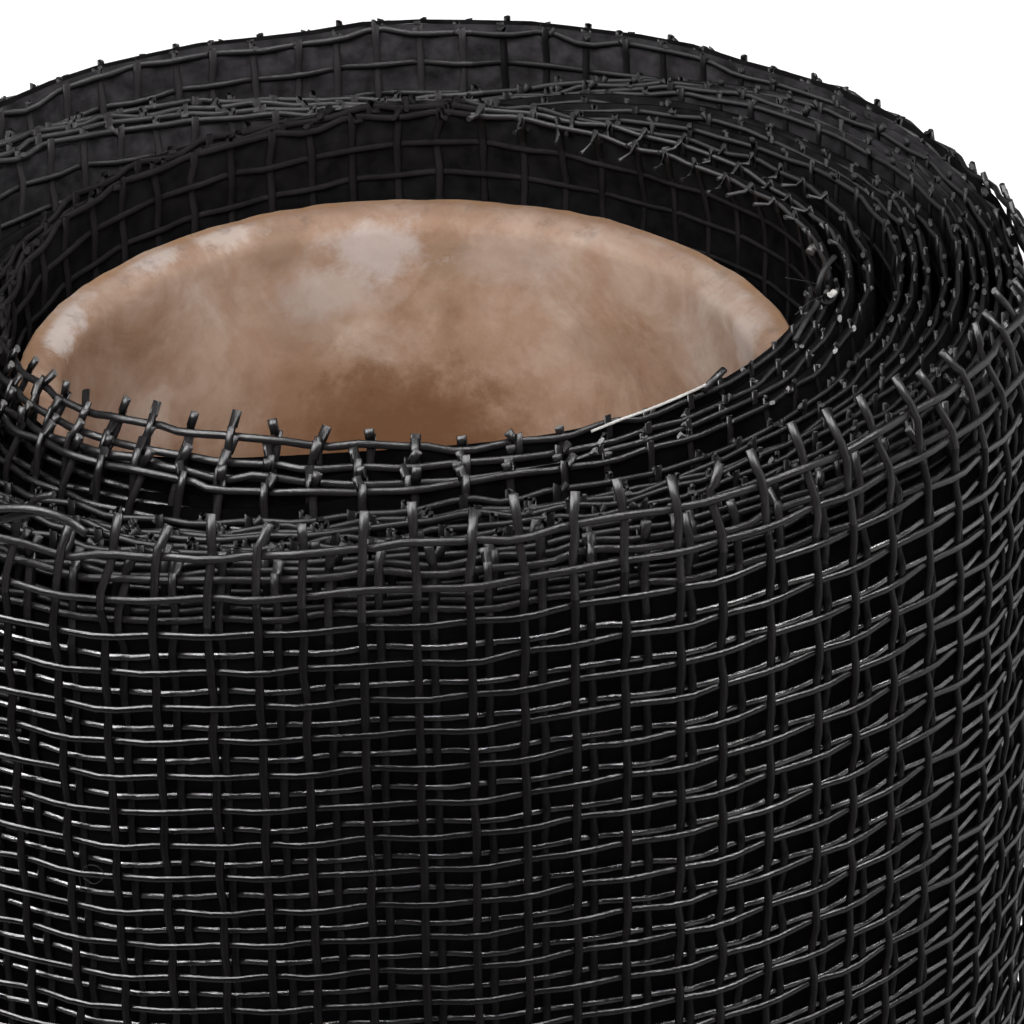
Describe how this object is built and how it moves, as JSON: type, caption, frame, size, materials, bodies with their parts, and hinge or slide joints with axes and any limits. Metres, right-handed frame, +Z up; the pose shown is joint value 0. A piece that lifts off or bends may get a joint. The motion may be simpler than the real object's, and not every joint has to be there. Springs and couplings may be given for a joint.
{
  "type": "roll of fiberglass insect screen",
  "caption": "Short roll of black fiberglass insect screen wound on a cardboard core, standing on its cut end.",
  "frame": {"origin": "centre of the base that the roll stands on", "axes": "+Z up along the roll, -Y to the front, the side that the picture shows"},
  "size_m": [0.0492, 0.0478, 0.0999],
  "materials": {
    "screen_cloth": "black coated fiberglass yarn, plain weave, soft sheen",
    "core_cardboard": "matte brown cardboard"
  },
  "bodies": {
    "root": {"screen_roll": "screen_cloth", "core_tube": "core_cardboard"}
  },
  "joints": []
}
